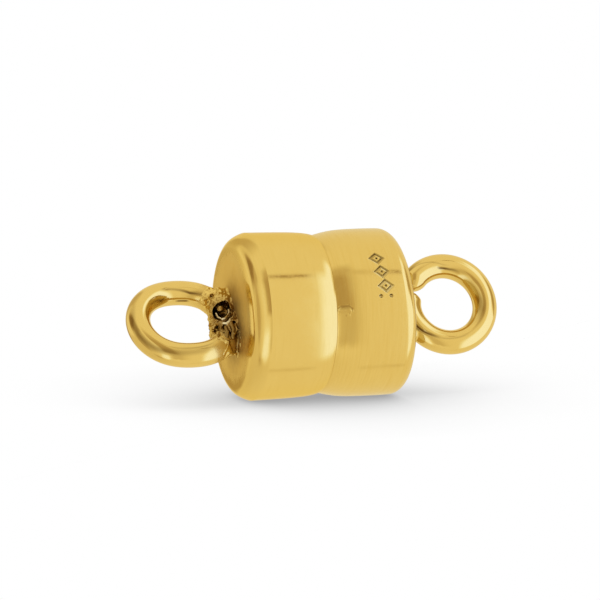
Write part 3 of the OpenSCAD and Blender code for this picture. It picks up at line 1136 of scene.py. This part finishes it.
# %% [markdown]
# ## Floor
# The floor is a white table whose light is all its own glow, as a light table's is; its soft grey
# contact shadow is painted into that glow. The painted shadow is how open the table is round a
# spot, looked for along a direction that leans outward beyond both ends of the clasp, so it is
# lighter there. The gold doesn't reflect the table: a closed tent of cloth does that part.

# %% Floor
FLOOR_HALF = 3.0
# the table's light is all glow: a steady part, and a part that the painted shadow takes away
TABLE_GLOW, SHADOWABLE_GLOW = 0.345, 0.655
SHADOW_REACH = 0.008
# which way a spot looks for light: along the barrel at both ends, then across it, then up; and how
# far out the ends are
LOOK_LEFT, LOOK_RIGHT, LOOK_ACROSS, LOOK_UP = -0.60, 0.36, -0.10, 0.98
LOOK_ENDS = -6 * MM, 6 * MM

floor_mesh = bpy.data.meshes.new("floor")
floor_corners = [(x * FLOOR_HALF, y * FLOOR_HALF, 0) for x, y in ((-1, -1), (1, -1), (1, 1), (-1, 1))]
floor_mesh.from_pydata(floor_corners, [], [(0, 1, 2, 3)])
floor = new_object("floor", floor_mesh)
floor.visible_glossy = False
table_top, table, table_shader = new_material("table_top")
for socket, value in (("Base Color", (0, 0, 0, 1)), ("Roughness", 1.0), ("Specular IOR Level", 0.0),
                      ("Emission Color", WHITE)):
    table_shader.inputs[socket].default_value = value
table_place = add_node(table, "ShaderNodeTexCoord")
table_parts = add_node(table, "ShaderNodeSeparateXYZ", {0: table_place.outputs["Object"]})
toward_end = remap(table, table_parts.outputs["X"], *LOOK_ENDS, LOOK_LEFT, LOOK_RIGHT)
look = add_node(table, "ShaderNodeCombineXYZ", {"X": toward_end, "Y": LOOK_ACROSS, "Z": LOOK_UP})
# the painted contact shadow: how open the table is, looked for along that leaning direction
seen = add_node(table, "ShaderNodeAmbientOcclusion",
                {"Distance": SHADOW_REACH, "Normal": look.outputs[0]}, samples=16)
shade = calculate(table, "MULTIPLY_ADD", seen.outputs["AO"], SHADOWABLE_GLOW, TABLE_GLOW)
table.links.new(shade, table_shader.inputs["Emission Strength"])
floor.data.materials.append(table_top)
print(floor.name, "is", 2 * FLOOR_HALF, "m wide")

# %% [markdown]
# ## The light tent
# A clasp is photographed inside a tent of white cloth with a few panels in it. The tent is the
# world's light, as a level for each direction: how far it points along the barrel, and the angle
# round the barrel. A ramp turns the level into a colour, because dim cloth looks warm and lit
# cloth looks white.

# %% Tent panels
TENT_GAIN = 1.5
# share of the light left in a reflection of a reflection, which keeps the solder's pits dark
INNER_DIM = 0.65
DIFFUSE_LIGHT = 0.86
# the bare cloth gets brighter along the barrel: from and to, and its level at both
CLOTH_SPAN, CLOTH_LEVELS = (-0.7, 0.30), (0.70, 0.79)
TENT_RAMP = ((0.30, (0.30, 0.20, 0.09)), (0.50, (0.50, 0.39, 0.21)), (0.62, (0.62, 0.53, 0.33)),
             (0.72, (0.72, 0.635, 0.41)), (0.80, (0.80, 0.725, 0.505)), (0.90, (0.90, 0.93, 0.86)),
             (1.00, (0.98, 1.08, 1.38)))
# level, from and to along the barrel, soft edge, from and to round it in degrees, soft edge
PANELS = (
    ("top cloth", 0.79, (-0.62, 0.20), 0.12, (45, 115), 14),
    ("low rear cloth", 0.70, (-1.10, -0.50), 0.10, (-150, -75), 12),
    ("front cloth", 0.83, (-0.70, 0.10), 0.14, (-50, 60), 20),
    ("bright edge", 0.97, (-0.58, -0.32), 0.06, (-60, -14), 12),
    ("left opening", 0.54, (-1.10, -0.86), 0.05, (-60, 92), 14),
    ("low fold", 0.50, (-0.72, -0.52), 0.08, (-74, -62), 8),
    ("flag foot", 0.55, (-0.94, -0.66), 0.06, (72, 100), 9),
    ("left flag", 0.30, (-0.91, -0.62), 0.07, (100, 146), 9),
    ("rear cloth", 0.82, (-0.95, -0.46), 0.04, (160, 181), 12),
    ("rear cloth below", 0.82, (-0.95, -0.48), 0.04, (-181, -166), 8),
    ("dim behind", 0.55, (-0.41, -0.05), 0.05, (120, 181), 20),
    ("dim behind middle", 0.55, (-0.41, -0.05), 0.05, (-181, -172), 6),
    ("dim behind below", 0.45, (-0.43, -0.05), 0.05, (-173, -158), 5),
    ("overhead strip", 0.56, (-0.40, 0.06), 0.08, (62, 74), 6),
    ("overhead strip end", 0.64, (0.06, 0.27), 0.03, (61, 67), 3),
    ("stand haze", 0.68, (-0.30, 0.13), 0.13, (-38, 62), 8),
    ("camera stand", 0.46, (-0.45, -0.02), 0.09, (9, 64), 6),
    ("camera lower", 0.62, (-0.24, 0.02), 0.06, (-40, 8), 8),
    ("streak", 0.80, (-0.11, -0.06), 0.02, (-62, -36), 6),
    ("right softbox", 1.00, (0.44, 1.20), 0.07, (-62, 68), 9),
    ("softbox top", 1.00, (0.55, 0.75), 0.06, (60, 96), 9),
    ("right flag", 0.45, (0.80, 1.20), 0.05, (50, 110), 12),
    ("gap overhead", 0.30, (0.318, 0.385), 0.012, (61, 66), 1.6),
    ("gap below", 0.60, (0.31, 0.385), 0.015, (-76, -73), 2.5),
    ("gap below right", 0.68, (0.20, 0.292), 0.02, (-76, -72), 3),
)

# %% Tent
def smooth_band(tree, value, low, high, soft):
    """1 between low and high, with soft edges."""
    rise = remap(tree, value, low - soft, low + soft, kind="SMOOTHSTEP")
    fall = remap(tree, value, high - soft, high + soft, 1.0, 0.0, kind="SMOOTHSTEP")
    return calculate(tree, "MULTIPLY", rise, fall)


world = bpy.data.worlds.new("light_tent")
bpy.context.scene.world = world
world.use_nodes = True
tent = world.node_tree
tent.nodes.clear()
direction = add_node(tent, "ShaderNodeTexCoord")
parts = add_node(tent, "ShaderNodeSeparateXYZ", {0: direction.outputs["Generated"]})
backward = calculate(tent, "MULTIPLY", parts.outputs["Y"], -1.0)
around = calculate(tent, "DEGREES", calculate(tent, "ARCTAN2", parts.outputs["Z"], backward))
level = remap(tent, parts.outputs["X"], *CLOTH_SPAN, *CLOTH_LEVELS, kind="SMOOTHSTEP")
for title, panel_level, along_span, along_soft, round_span, round_soft in PANELS:
    mask = calculate(tent, "MULTIPLY", smooth_band(tent, parts.outputs["X"], *along_span, along_soft),
                     smooth_band(tent, around, *round_span, round_soft))
    blend = {0: mask, 2: level, 3: panel_level}
    level = add_node(tent, "ShaderNodeMix", blend, data_type="FLOAT", label=title).outputs[0]
ramp = add_node(tent, "ShaderNodeValToRGB", {"Fac": level})
while len(ramp.color_ramp.elements) < len(TENT_RAMP):
    ramp.color_ramp.elements.new(0.5)
for element, (position, colour) in zip(ramp.color_ramp.elements, TENT_RAMP):
    element.position = position
    element.color = tuple(c / TENT_GAIN for c in colour) + (1,)


# %% [markdown]
# ## Who sees which tent
# The panels are for reflections alone. The rest of the scene is lit by plain white cloth, so that
# no panel tints the floor. A light path knows how many bounces a ray has made: the first
# reflection counts as 2 here and the one after it as 3.

# %% World output
plain = add_node(tent, "ShaderNodeBackground", {"Color": WHITE, "Strength": DIFFUSE_LIGHT})
ray = add_node(tent, "ShaderNodeLightPath")
strength = remap(tent, ray.outputs["Ray Depth"], 2.0, 3.0, TENT_GAIN, TENT_GAIN * INNER_DIM)
reflected = add_node(tent, "ShaderNodeBackground", {"Color": ramp.outputs["Color"], "Strength": strength})
choose = add_node(tent, "ShaderNodeMixShader",
                  {0: ray.outputs["Is Glossy Ray"], 1: plain.outputs[0], 2: reflected.outputs[0]})
add_node(tent, "ShaderNodeOutputWorld", {"Surface": choose.outputs[0]})
print("tent panels:", len(PANELS))
